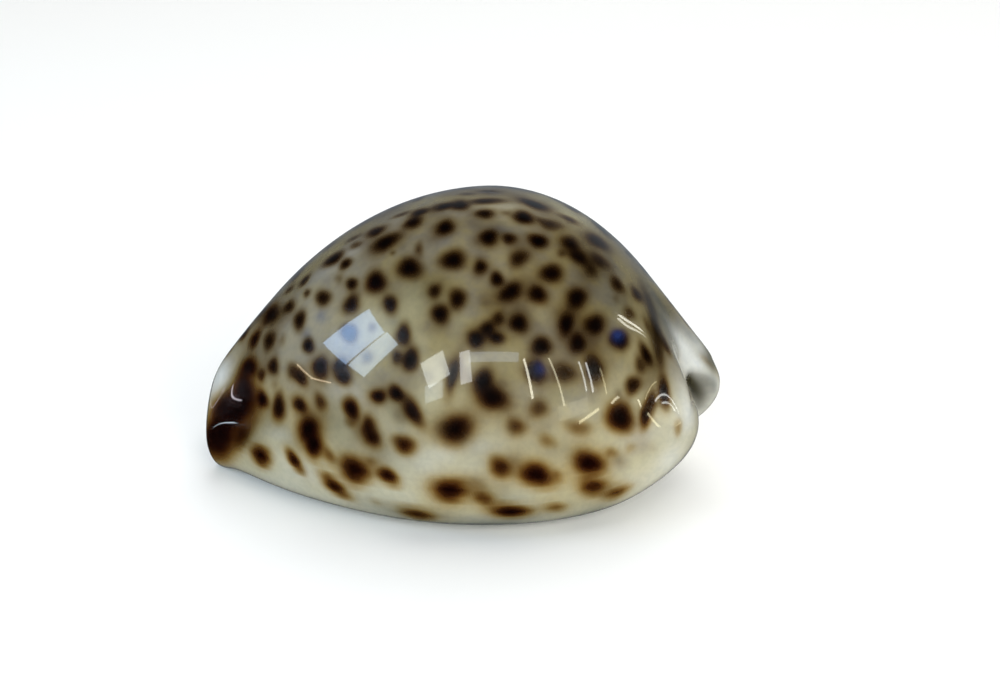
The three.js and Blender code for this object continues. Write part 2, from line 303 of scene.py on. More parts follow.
def shellRows():
    # points of the surface by row and column, how strongly the teeth mark each row, and each row's place:
    # under 0 on the back, 0 at the margin, 1, 2, 3 and so on at the loops below it
    columns = meshFineness["columns"]
    base = [spacedEvenly(splineLoop(loopControls(loop), meshFineness["samples"]), columns)
            for loop in shellLoops.values()]
    back, power = backLoops(base[0])
    inside = cavityLoops(base[0], base[-1], power)

    def pole(z):
        return np.tile([shellForm["summitX"], 0, z], (columns, 1))

    def opposite(loop):
        return np.roll(loop, columns // 2, axis=0)

    controls = np.array(
        [opposite(back[0]), pole(shellForm["height"])] + back + base + inside
        + [pole(shellForm["height"] - shellForm["wall"]), opposite(inside[-1])]
    )
    firstBase = 2 + len(back)  # the loop across the summit and the summit itself come first
    toothMarks = np.zeros(len(controls))
    toothMarks[firstBase:firstBase + len(base)] = [loop["tooth"] for loop in shellLoops.values()]
    rows, teeth, places = [], [], []
    for i in range(1, len(controls) - 2):
        if i < firstBase:
            steps = meshFineness["backSteps"]
        elif i < firstBase + len(base):
            steps = meshFineness["baseSteps"]
        else:
            steps = meshFineness["insideSteps"]
        lastPart = i == len(controls) - 3
        for step in range(steps + lastPart):
            weights = np.array(splineWeights(step / steps))
            rows.append(np.tensordot(weights, controls[i - 1:i + 3], 1))
            teeth.append(weights @ toothMarks[i - 1:i + 3])
            places.append(i - firstBase + step / steps)
    return np.array(rows), np.array(teeth), np.array(places)


def toothWave():
    columns = meshFineness["columns"]
    c = np.arange(columns)
    ridge = (0.5 + 0.5 * np.cos(c / columns * shellTeeth["count"] * 2 * math.pi)) ** shellTeeth["sharpness"]
    along = (c / columns * 2) % 1
    bare = shellTeeth["bareEnd"]
    fromCanal = smoothStep(bare, bare + shellTeeth["fade"], np.minimum(along, 1 - along))
    lip = np.where(c < columns / 2, 1, shellTeeth["innerLip"])
    return shellTeeth["height"] * (ridge - shellTeeth["groove"]) * fromCanal * lip


def surfaceNormals(rows):
    around = np.roll(rows, -1, axis=1) - np.roll(rows, 1, axis=1)
    inward = np.empty_like(rows)
    inward[1:-1] = rows[2:] - rows[:-2]
    inward[0], inward[-1] = rows[1] - rows[0], rows[-1] - rows[-2]
    normals = np.cross(inward, around)
    lengths = np.linalg.norm(normals, axis=-1, keepdims=True)
    return normals / np.maximum(lengths, 1e-9)  # they shrink to nothing at the poles


def buildShell():
    rows, teeth, places = shellRows()
    rows = rows + surfaceNormals(rows) * (teeth[:, None] * toothWave()[None, :])[..., None]
    rows[..., 2] = np.maximum(rows[..., 2], 0)
    low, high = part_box("shell")
    middle = (rows[..., :2].min((0, 1)) + rows[..., :2].max((0, 1))) / 2
    rows[..., :2] += np.array((low + high)[:2]) / 2 / mm - middle
    print("shell surface, rows and columns:", rows.shape[:2])
    return rows, places


# The markings that the camera sees. Each is its middle in the photo's pixels, half its length and
# half its width, the turn of its length anticlockwise in degrees, and how dark it is.
nearSpots = {
    "crest": [
        (254, 338, 10.5, 4, 62, 0.80), (271, 313, 12, 6.5, 52, 0.95), (289, 288, 6, 2.2, 42, 0.55),
        (303, 279, 6.5, 2.8, 52, 0.75), (332, 257, 10.5, 4.5, 38, 0.92), (355, 243, 7, 3, 28, 0.50),
        (374, 230, 9, 3.5, 30, 0.86), (418, 211, 9, 3, 15, 0.85), (443, 205, 11, 3.4, 10, 0.85),
        (460, 203, 9, 4.8, 8, 0.88), (485, 200, 17, 3.2, 2, 0.82), (466, 193, 9, 2.2, 4, 0.50),
        (535, 202, 13, 3.8, -18, 1.0), (569, 217, 11, 3, -28, 0.62), (598, 240, 12, 6, -37, 0.88),
        (619, 283, 9.5, 5.5, -47, 0.70), (640, 294, 9.5, 4, -60, 0.70), (545, 222, 10, 4, -24, 0.55),
        (352, 236, 9, 2, 30, 0.45), (400, 213, 9, 2, 18, 0.50),
    ],
    "upper back, front half": [
        (305, 292, 4.8, 3, 60, 0.60), (344, 263, 7, 4, 35, 0.85), (337, 277, 6, 4.5, 60, 0.35),
        (350, 283, 6.5, 5.2, 60, 0.85), (374, 281, 11, 9, 42, 1.0), (385, 242, 14, 6.2, 33, 1.0),
        (391, 252, 3, 2.5, 0, 0.40), (322, 297, 8, 6.5, 70, 0.90), (350, 304, 9, 7.5, 60, 0.88),
        (412, 222, 10.5, 4.8, 25, 0.92), (444, 226, 8.8, 6.5, 12, 1.0), (418, 249, 7, 5, 90, 0.45),
        (408, 268, 11.5, 10, 20, 1.0), (390, 304, 8.2, 6.8, 110, 0.88), (434, 291, 7, 6, 90, 0.78),
        (457, 297, 9, 9, 0, 0.92), (439, 312, 9.2, 8.6, 0, 0.96),
    ],
    "upper back, spire half": [
        (484, 212, 8.5, 4.5, -5, 0.88), (507, 211, 7, 3.5, 0, 0.35), (525, 216, 11, 5.5, -18, 1.0),
        (487, 237, 9.5, 7, 5, 1.0), (510, 238, 7, 5.5, 0, 0.78), (540, 240, 8.8, 6.5, -25, 0.96),
        (452, 258, 11.5, 9.8, 0, 1.0), (480, 266, 6.8, 6.5, 0, 0.88), (521, 258, 11, 7.5, 40, 0.78),
        (498, 278, 6.5, 7, 0, 0.92), (510, 290, 11.5, 8.5, 30, 0.96), (539, 293, 9, 8.5, 0, 0.96),
        (553, 273, 10.5, 9.2, -20, 1.0), (555, 224, 12, 5, -15, 0.62), (571, 244, 10, 6.5, -45, 0.92),
        (580, 255, 12, 6.5, -40, 0.86), (592, 270, 8, 6, -50, 0.55), (563, 252, 5, 5, 0, 0.50),
        (601, 261, 11, 6, -35, 0.62), (577, 298, 9.8, 9, 0, 1.0), (631, 312, 7.5, 5.2, -60, 0.55),
        (618, 297, 6, 4, -60, 0.22),
    ],
    "front flank": [
        (287, 306, 7, 4.5, 60, 0.80), (298, 320, 9, 5.6, 72, 0.92), (268, 339, 10, 5, 68, 0.84),
        (280, 341, 7, 4, 80, 0.30), (307, 346, 6.5, 6, 90, 0.95), (319, 368, 9.5, 7.5, 90, 1.0),
        (339, 365, 7, 7, 90, 0.90), (342, 377, 7.5, 7, 90, 0.95), (272, 365, 8.5, 4.6, 85, 0.84),
        (259, 375, 5.5, 4, 80, 0.70), (291, 370, 7.5, 6.5, 110, 0.62), (299, 379, 7.5, 5.5, 125, 0.92),
        (347, 332, 8, 7.5, 0, 1.0), (371, 327, 5, 5, 0, 0.40), (367, 358, 7, 5.5, 60, 0.55),
        (260, 398, 8.6, 5, 98, 0.96), (277, 408, 12, 6, 95, 1.0), (299, 406, 8.5, 5.6, 112, 0.92),
        (318, 403, 8.5, 6, 105, 0.58), (274, 385, 7, 3.5, 85, 0.25),
    ],
    "middle": [
        (402, 335, 10, 7.2, 80, 0.88), (397, 357, 8, 5.5, 90, 0.66), (411, 360, 10.5, 7.6, 90, 1.0),
        (477, 339, 8.5, 7.2, 10, 0.96), (488, 329, 9, 6, 45, 0.88), (498, 317, 8, 5.6, 70, 0.74),
        (496, 336, 8.2, 6.4, -25, 0.88), (519, 322, 9.2, 8, 90, 0.96), (542, 345, 9.4, 9, 90, 0.98),
        (452, 376, 16, 4.6, 78, 0.95), (483, 381, 11, 9.5, 90, 1.0), (493, 398, 15, 10.5, -42, 1.0),
        (537, 372, 10.5, 9.8, 90, 1.0), (351, 409, 10.5, 7, 110, 0.96), (377, 396, 6.4, 6.4, 0, 0.92),
        (395, 395, 8, 6.6, -45, 1.0), (412, 412, 14.5, 7.6, -56, 0.90), (539, 408, 10, 9, -30, 0.58),
    ],
    "spire flank": [
        (568, 323, 10.5, 7.2, 80, 0.96), (596, 325, 10, 9.4, 90, 1.0), (578, 343, 9, 8.6, 90, 0.92),
        (620, 339, 9.5, 8.5, 90, 1.0), (566, 373, 14, 9, -10, 0.72), (595, 369, 12.5, 8.8, 100, 1.0),
        (648, 354, 12, 4.4, -70, 0.98), (642, 365, 9, 6, -80, 0.66), (633, 385, 9.4, 7, 80, 0.86),
        (665, 393, 14, 5.6, -82, 1.0), (653, 402, 11, 5, 72, 0.78), (647, 417, 11, 5.5, 80, 0.94),
        (620, 417, 14, 12, 90, 1.0), (667, 344, 10, 2.8, -68, 0.60), (648, 325, 10, 2.4, -70, 0.42),
    ],
    "lower side": [
        (260, 455, 10, 7.2, -35, 0.92), (293, 458, 11.5, 4.4, -52, 0.86), (307, 431, 12, 8.5, -85, 1.0),
        (312, 446, 12.5, 7.5, -68, 1.0), (352, 471, 15.5, 9.8, -35, 1.0), (334, 487, 14.5, 5, -35, 0.86),
        (368, 426, 9, 6.5, -75, 0.80), (371, 437, 10.5, 6.5, -65, 0.90), (351, 424, 7, 5, -60, 0.36),
        (329, 457, 12, 5.5, -45, 0.45), (370, 463, 8, 5, -30, 0.32), (402, 444, 12, 8, -38, 0.78),
        (387, 477, 10.5, 6.2, -35, 0.88), (456, 429, 15.5, 14, 0, 1.0), (517, 429, 10.5, 7.8, -35, 0.60),
        (548, 441, 10, 7.5, -40, 0.34), (500, 467, 11.5, 8.8, -25, 0.70), (538, 475, 14.5, 10, -4, 1.0),
        (448, 489, 16, 9, -10, 1.0), (485, 497, 11.5, 6.5, -15, 0.62), (578, 428, 12, 8, -15, 0.42),
        (589, 463, 13.5, 10.4, 0, 1.0), (594, 484, 12, 8, 0, 0.78), (612, 455, 7, 6, 0, 0.35),
        (557, 475, 7, 6, 0, 0.35),
    ],
    "front tip": [
        (247, 366, 10, 7, 75, 0.94), (242, 390, 19, 9, 88, 1.0), (232, 412, 22, 15, 65, 1.0),
        (219, 438, 22, 15, 75, 1.0), (215, 432, 18, 9, 78, 1.0), (220, 410, 16, 8, 62, 0.95),
        (238, 436, 14, 8, 60, 0.72),
    ],
    # painted dark reflection: the band down the valley by the spire, and a little along the far lobe's edge
    "spire tip": [
        (708, 361, 12, 3.6, -50, 0.25), (657, 328, 30, 5, -75, 0.62), (650, 300, 20, 4, -66, 0.50),
        (660, 353, 16, 4, -78, 0.50),
    ],
    "margin": [
        (416, 514, 17, 3.8, -10, 0.70), (512, 515, 17, 4.6, 2, 0.96), (617, 492, 13, 5, 27, 0.60),
        (555, 506, 12, 4.4, -4, 0.45), (680, 428, 9, 4.6, 86, 0.36), (632, 449, 8, 6, 70, 0.24),
        (374, 504, 9, 3.4, -15, 0.20), (654, 450, 7, 6, 90, 0.10),
    ],
}
# spots deep under the enamel, which show as a milky blue grey; the long thin one on the spire flank is a
# painted reflection
deepSpotsAndReflection = [
    (447, 240, 10, 8, 0, 0.60), (501, 228, 12, 6, -10, 0.75), (545, 256, 9, 5, -20, 0.45),
    (417, 236, 7, 4, 15, 0.40), (320, 317, 8.5, 7.5, 60, 0.90), (305, 335, 8, 6.5, 100, 0.90),
    (310, 421, 9, 6, -75, 0.60), (402, 432, 9, 5, -20, 0.40), (284, 367, 5, 6, 90, 0.50),
    (395, 285, 9, 7, 30, 0.35), (455, 272, 12, 5, 0, 0.40), (392, 322, 8, 7, 0, 0.45),
    (625, 340, 9, 8, 0, 0.40), (318, 402, 8, 6, 100, 0.50), (608, 246, 10, 5, -40, 0.60),
    (455, 325, 10, 8, 0, 0.30), (605, 494, 14, 7, 20, 0.50), (460, 516, 60, 4, -2, 0.45),
    (258, 350, 12, 8, 60, 0.50), (611, 358, 20, 6, -82, 0.30), (600, 418, 9, 7, 0, 0.40),
    (480, 255, 12, 7, 0, 0.40),
]
# spots painted blue: a painted reflection of blue sky on dark spots
paintedBlueReflections = [
    (619, 333, 7, 6.2, -20, 1.0), (541, 369, 7.5, 7, 0, 0.75), (347, 331, 7, 6, 0, 0.6),
]
# painted shade in the hollow of the spire canal, which the lips' loops carry
canalPaintedShade = [
    (688, 381, 13, 8, -50, 1.0), (692, 388, 16, 10, -60, 0.86), (699, 394, 20, 14, -60, 0.80),
    (707, 380, 14, 8, -60, 0.62),
]
# broad tints, drawn the same way: painted shade and dark reflection (the shadow along the bottom edge, the
# shaded back towards the spire, the dark bands by the spire and along the far lobe's edge), mixed with
# grey-brown tone
paintedShadeAndToneMarks = [
    (655, 318, 44, 8, -75, 1.0), (662, 302, 30, 6, -54, 1.0), (690, 333, 28, 5, -50, 0.70),
    (664, 317, 26, 7, -62, 0.95), (713, 361, 18, 4.5, -62, 0.90), (716, 385, 14, 5, 88, 0.80),
    (600, 262, 60, 34, -42, 0.70), (420, 290, 30, 24, 0, 0.60), (620, 305, 34, 20, -60, 0.64),
    (520, 345, 60, 40, 0, 0.24), (244, 440, 16, 10, 60, 0.86), (224, 398, 14, 7, 60, 0.60),
    (335, 430, 34, 20, -60, 0.66), (262, 425, 26, 16, 75, 0.66), (290, 440, 26, 12, -30, 0.50),
    (480, 452, 30, 16, -20, 0.45), (506, 498, 40, 14, -8, 0.66), (378, 452, 40, 22, -30, 0.60),
    (490, 526, 80, 8, 2, 0.95), (592, 515, 44, 9, 18, 0.80), (400, 512, 60, 9, -12, 0.80),
    (560, 452, 34, 12, -10, 0.50), (568, 395, 24, 14, 0, 0.50), (398, 412, 26, 14, -45, 0.60),
    (398, 322, 15, 13, 0, 0.45), (500, 226, 34, 9, -8, 0.50), (282, 430, 24, 14, -60, 0.45),
]
# white callus where the enamel is thickest, mixed with painted sheen and reflection on the rim of the back and
# at the front tip
callus = [
    (686, 350, 26, 12, -58, 1.0), (697, 362, 12, 7, -35, 1.0), (690, 412, 34, 10, -82, 0.85),
    (700, 346, 18, 7, -55, 0.80), (690, 330, 16, 6, -50, 0.60), (686, 366, 11, 8, -60, 0.85),
    (672, 460, 20, 12, 40, 0.70), (640, 482, 34, 10, 25, 0.50), (218, 378, 26, 12, 75, 1.0),
    (280, 436, 18, 9, -20, 0.50), (300, 472, 40, 10, -30, 0.55), (440, 455, 20, 10, 0, 0.45),
    (302, 322, 70, 30, 48, 0.42), (345, 252, 44, 9, 36, 0.50), (345, 392, 26, 14, -30, 0.42),
    (640, 436, 24, 16, 30, 0.50), (480, 448, 16, 10, 0, 0.45), (500, 207, 60, 12, -4, 0.34),
    (268, 316, 26, 8, 52, 0.45), (398, 228, 18, 8, 25, 0.36), (425, 466, 20, 10, -20, 0.42),
]
# what the camera doesn't see gets spots of the same kind, strewn by a seeded draw
farSpots = {
    "seed": 11, "tries": 7000,
    "radius": (0.95, 2.9),     # millimetres, half size from the smallest to the largest
    "largeShare": 0.22,        # how many of the tries are for large spots
    "shrink": 0.6,             # how much smaller the large ones get as the surface fills up
    "gap": 0.40,               # clear space between spots, as a share of their sizes
    "longest": 1.6,            # most that a spot is longer than wide
    "strength": (0.55, 1.25),  # darkness, and over 1 counts as 1
    "margin": (-1.1, 0.5),     # row places where the spots thin out towards the base
    "marginStrength": 0.35,    # what is left of their darkness there
    "grazing": 0.14,           # they also fill in where the camera sees the surface at less than this cosine
    "callusFree": 0.85,        # none where less than this is left clear of white callus
}
# blurred patches deep in the enamel: brown haze over all the back, and grey ghosts of spots on its far side
haze = {"count": 260, "radius": (0.9, 3.6), "strength": (0.35, 0.95)}
ghosts = {"count": 80, "radius": (1.0, 2.3), "strength": (0.4, 0.95)}
# the dark blotch goes round the front end: places in millimetres, half size and strength
farBlotch = [
    ((-41, 13, 8), 4.6, 1.0), ((-38, 16, 10), 4.2, 0.9), ((-42, 11, 4), 4.0, 0.95), ((-36, 17, 5), 3.2, 0.7),
]
# the outline and the soft edge of every spot
spotEdge = {
    "reach": 0.84,           # where the pigment thins out, as a share of the drawn outline
    "thicken": 1.8,          # how quickly darkness thickens it
    "halo": (0, 0.17),       # share of the pigment that spreads as a halo, from the least to the most
    "haloSize": 2,           # how many times wider the halo is
    "wobble": (0.08, 0.05),  # how uneven the outline is, in two and in three waves round it
    "cut": 3.2,              # no pigment past this many half lengths
    "longest": 2.4,          # most that a spot is drawn out where the surface turns away
}
seenWithin = 1.5  # pixels by which a surface point may miss a drawn place more than the best one does
# row places that bound the outer surface, where marks are drawn, and the canal's inside
outerRows = 3
canalRows = (3, 8)
# row places, and for low heights in millimetres, over which a field fades
fieldFades = {"dark": (1.2, 2.4), "hollow": (1, 2.6), "low": (7, 33), "bare": (0.6, 2.4), "inside": (6.2, 8.0)}


def spotOnSurface(point, normal, size, turn):
    # an ellipse drawn in the photo, as two half axes that lie in the surface
    away = point - cameraPlace
    depth = -(away @ cameraBack)
    slopeX = cameraRight / depth + (away @ cameraRight) * cameraBack / depth ** 2
    slopeY = cameraUp / depth + (away @ cameraUp) * cameraBack / depth ** 2
    toPixels = np.array([pixelsPerSlope * slopeX, pixelsPerSlope * slopeY, normal])
    axes = []
    for length, angle in ((size[0], turn), (size[1], turn + 90)):
        a = math.radians(angle)
        axis = np.linalg.solve(toPixels, [length * math.cos(a), length * math.sin(a), 0])
        longest = spotEdge["longest"] * length * depth / pixelsPerSlope
        axes.append(axis * min(1, longest / np.linalg.norm(axis)))
    return axes


def strewnAxes(normal, radius, draw):
    # half axes of an ellipse in the surface, turned and drawn out at random
    along = np.cross(normal, draw.normal(size=3))
    along /= np.linalg.norm(along)
    stretch = draw.uniform(1, farSpots["longest"]) ** 0.5
    return [along * radius * stretch, np.cross(normal, along) * radius / stretch]


def addSpot(field, points, centre, axes, strength, draw):
    # lays pigment in an uneven ellipse that thins out softly from the centre
    cut = spotEdge["cut"] * max(np.linalg.norm(axis) for axis in axes)
    near = np.flatnonzero(np.abs(points - centre).max(1) < cut)
    local = np.linalg.lstsq(np.array(axes).T, (points[near] - centre).T, rcond=None)[0]
    angle = np.arctan2(local[1], local[0])
    phase = draw.uniform(0, 2 * math.pi, 2)
    wobble = sum(w * np.cos((k + 2) * angle + phase[k]) for k, w in enumerate(spotEdge["wobble"]))
    r = np.hypot(*local) * (1 + wobble) / spotEdge["reach"]
    halo = draw.uniform(*spotEdge["halo"])
    laid = mixed(np.exp(-r ** 2), np.exp(-(r / spotEdge["haloSize"]) ** 2), halo)
    field[near] *= 1 - strength ** spotEdge["thicken"] * laid


def placeSeenAt(pixel, pixels, depth, allowed):
    # the surface point that shows at a pixel, and of several the nearest to the camera
    miss = np.hypot(*(pixels[allowed] - pixel).T)
    close = allowed[miss < miss.min() + seenWithin]
    return close[np.argmin(depth[close])]


def outerPlace(points, rowPlace, target):
    # the point of the outer surface that is nearest to a place in space
    outer = np.flatnonzero(rowPlace < outerRows)
    return outer[np.argmin(np.linalg.norm(points[outer] - target, axis=1))]


def paintMarks(rows, places):
    # clear fields that the marks are multiplied into: 1 is bare, 0 is the strongest
    normals = surfaceNormals(rows).reshape(-1, 3)
    points = rows.reshape(-1, 3)
    rowPlace = np.repeat(places, rows.shape[1])
    drawn = {"dark": sum(nearSpots.values(), []), "deep": deepSpotsAndReflection, "blue": paintedBlueReflections, "shade": paintedShadeAndToneMarks,
             "callus": callus, "hollow": canalPaintedShade}
    marks = {name: np.ones(len(points)) for name in (*drawn, "haze")}
    draw = np.random.default_rng(farSpots["seed"])

    pixels, depth = photoPixels(points)
    toCamera = cameraPlace - points
    cosine = (toCamera * normals).sum(1) / np.linalg.norm(toCamera, axis=1)
    outside = np.flatnonzero((cosine > 0) & (rowPlace < outerRows))
    canal = np.flatnonzero((cosine > 0) & (rowPlace > canalRows[0]) & (rowPlace < canalRows[1]))
    centres, sizes = [], []
    for name, spots in drawn.items():
        for x, y, long, short, turn, strength in spots:
            place = placeSeenAt((x, y), pixels, depth, canal if name == "hollow" else outside)
            axes = spotOnSurface(points[place], normals[place], (long, short), turn)
            addSpot(marks[name], points, points[place], axes, strength, draw)
            if name == "dark":
                centres.append(points[place])
                sizes.append(math.sqrt(np.linalg.norm(axes[0]) * np.linalg.norm(axes[1])))
    print("spots drawn:", len(centres))

    for centre, radius, strength in farBlotch:
        place = outerPlace(points, rowPlace, centre)
        addSpot(marks["dark"], points, points[place], np.eye(3)[:2] * radius, strength, draw)
        centres.append(points[place])
        sizes.append(radius)

    onBack = rowPlace < farSpots["margin"][1]
    notCallus = marks["callus"] > farSpots["callusFree"]
    hidden = np.flatnonzero((cosine < farSpots["grazing"]) & onBack & notCallus)
    smallest, largest = farSpots["radius"]
    for k in range(farSpots["tries"]):
        place = draw.choice(hidden)
        isLarge = draw.random() < farSpots["largeShare"]
        reach = largest * (1 - farSpots["shrink"] * k / farSpots["tries"]) if isLarge else 0
        radius = max(reach, draw.uniform(smallest, (smallest + largest) / 2))
        gap = np.linalg.norm(np.array(centres) - points[place], axis=1)
        if (gap < (np.array(sizes) + radius) * (1 + farSpots["gap"])).any():
            continue
        inland = 1 - smoothStep(*farSpots["margin"], rowPlace[place])
        strength = min(1, draw.uniform(*farSpots["strength"])) * mixed(farSpots["marginStrength"], 1, inland)
        axes = strewnAxes(normals[place], radius, draw)
        addSpot(marks["dark"], points, points[place], axes, strength, draw)
        centres.append(points[place])
        sizes.append(radius)
    print("spots in all:", len(centres))

    for name, allowed, patches in (("haze", np.flatnonzero(onBack), haze), ("deep", hidden, ghosts)):
        for k in range(patches["count"]):
            place = draw.choice(allowed)
            axes = strewnAxes(normals[place], draw.uniform(*patches["radius"]), draw)
            addSpot(marks[name], points, points[place], axes, draw.uniform(*patches["strength"]), draw)
    return {name: 1 - field for name, field in marks.items()}


def shellMesh(rows, fields):
    count, columns = rows.shape[:2]
    poles = [rows[0].mean(0), rows[-1].mean(0)]
    vertices = np.concatenate([rows[1:-1].reshape(-1, 3), poles]) * mm
    ring = np.arange(columns)
    after = (ring + 1) % columns
    faces = []
    for r in range(count - 3):
        a, b = r * columns, (r + 1) * columns
        faces.append(np.stack([a + ring, b + ring, b + after, a + after], 1))
    quads = np.concatenate(faces)
    top, bottom = len(vertices) - 2, len(vertices) - 1
    last = (count - 3) * columns
    fans = [(top, int(c), int(d)) for c, d in zip(ring, after)]
    fans += [(bottom, int(last + d), int(last + c)) for c, d in zip(ring, after)]
    mesh = bpy.data.meshes.new("tiger_cowrie")
    mesh.from_pydata(vertices.tolist(), [], quads.tolist() + fans)
    mesh.polygons.foreach_set("use_smooth", np.ones(len(mesh.polygons), bool))
    for name, field in fields.items():
        grid = field.reshape(count, columns)
        values = np.concatenate([grid[1:-1].ravel(), [grid[0].mean(), grid[-1].mean()]])
        mesh.attributes.new(name, "FLOAT", "POINT").data.foreach_set("value", values.astype(np.float32))
    mesh.update()
    return mesh


# a socket on which sums can be written as plain expressions
class Wire:
    def __init__(self, graph, socket):
        self.graph = graph
        self.socket = socket

    def math(self, operation, *values, clamp=False):
        settings = {"operation": operation, "use_clamp": clamp}
        return self.graph.node("ShaderNodeMath", settings, dict(enumerate(values)))

    def __add__(self, other):
        return self.math("ADD", self, other)

    __radd__ = __add__

    def __sub__(self, other):
        return self.math("SUBTRACT", self, other)

    def __rsub__(self, other):
        return self.math("SUBTRACT", other, self)

    def __mul__(self, other):
        return self.math("MULTIPLY", self, other)

    __rmul__ = __mul__

    def clamped(self):
        return self.math("ADD", self, 0.0, clamp=True)


class Graph:
    def __init__(self, owner):
        owner.use_nodes = True
        self.tree = owner.node_tree
        self.tree.nodes.clear()

    def node(self, kind, settings=None, sockets=None, output=0):
        made = self.tree.nodes.new(kind)
        for name, value in (settings or {}).items():
            if name == "stops":
                ramp = made.color_ramp
                while len(ramp.elements) < len(value):
                    ramp.elements.new(1)
                for element, (position, colour) in zip(ramp.elements, value):
                    element.position = position
                    element.color = solid(colour)
            else:
                setattr(made, name, value)
        for name, value in (sockets or {}).items():
            if isinstance(value, Wire):
                self.tree.links.new(value.socket, made.inputs[name])
            else:
                made.inputs[name].default_value = value
        return Wire(self, made.outputs[output]) if made.outputs else None

    def attribute(self, name):
        settings = {"attribute_name": name, "attribute_type": "GEOMETRY"}
        return self.node("ShaderNodeAttribute", settings, output="Fac")

    def noise(self, place, scale, detail, roughness):
        sockets = {"Vector": place, "Scale": scale, "Detail": detail, "Roughness": roughness}
        return self.node("ShaderNodeTexNoise", {}, sockets, "Fac")

    def blend(self, share, first, second, way="MIX"):
        # a Mix node's colours are its inputs 6 and 7 and its output 2
        sockets = {"Factor": share, 6: first, 7: second}
        return self.node("ShaderNodeMix", {"data_type": "RGBA", "blend_type": way}, sockets, 2)

    def ramp(self, value, stops):
        return self.node("ShaderNodeValToRGB", {"stops": stops}, {"Fac": value})

    def shares(self, value, low, high):
        # 0 below low, 1 above high and smooth between
        settings = {"interpolation_type": "SMOOTHSTEP"}
        sockets = {"Value": value, "From Min": low, "From Max": high}
        return self.node("ShaderNodeMapRange", settings, sockets)


def paint(red, green, blue):
    # a colour as it shows on a screen, 0 to 255, turned to light by the screen's standard curve
    return tuple(((c / 255 + 0.055) / 1.055) ** 2.4 if c > 10 else c / 255 / 12.92 for c in (red, green, blue))


def solid(colour):
    return (*colour, 1)


# how much red, green and blue the thickest pigment of the spots takes away, where it's caramel and where black
pigment = {"caramel": (4.8, 7.2, 11.8), "black": (5.2, 6.5, 8.4), "steps": 16}
enamel = {
    # the ground on the back, on the sides, on the base and inside
    "backOlive": paint(134, 123, 85), "backGrey": paint(120, 113, 94), "backPale": paint(158, 151, 116),
    "side": paint(193, 190, 166), "sideWarm": paint(190, 183, 149),
    "base": paint(224, 223, 211), "inside": paint(206, 200, 198),
    # what lies over it, and what the ground is multiplied by. The blue is a painted reflection, the callus
    # white also paints sheen, the grey-brown multiplier is painted shade and tone, and the near black one is
    # painted shade in the canal's hollow
    "deepSpot": paint(92, 98, 114), "callus": paint(214, 217, 213), "blue": paint(28, 42, 88),
    "shade": (0.36, 0.39, 0.41), "haze": (0.50, 0.43, 0.36), "fleck": (0.92, 0.93, 0.95),
    "hollow": (0.06, 0.05, 0.02),
    "deepStrength": 0.7,
    # noises as scale, detail and roughness
    "noises": {"broad": (55, 3, 0.5), "cloud": (130, 3, 0.55), "fine": (900, 3, 0.6), "fleck": (1000, 2, 0.5)},
    # how high a noise stands where a tint begins and where it is full
    "greyStarts": (0.38, 0.62), "paleStarts": (0.5, 0.72), "sideWarmStarts": (0.4, 0.62),
    "fleckStarts": (0.35, 0.7), "caramelStarts": (0.45, 0.9),
    "caramelLow": 0.5,                         # how much more caramel the spots are down the sides
    "unevenFine": 0.3, "unevenCloud": 0.7,     # how uneven their pigment is
    "roughness": 0.22, "roughnessVaries": 0.12, "ior": 1.5, "specular": 0.3,
    "bump": {"strength": 0.12, "distance": 0.0004, "fine": 0.3, "broad": 2},
    "coatRoughness": 0.03, "coatIor": 1.55,
}


def pigmentStops(tone):
    # what each thickness of pigment, from none to the most, leaves of the light from the ground
    shares = [k / (pigment["steps"] - 1) for k in range(pigment["steps"])]
    return [(share, tuple(math.exp(-share * a) for a in pigment[tone])) for share in shares]


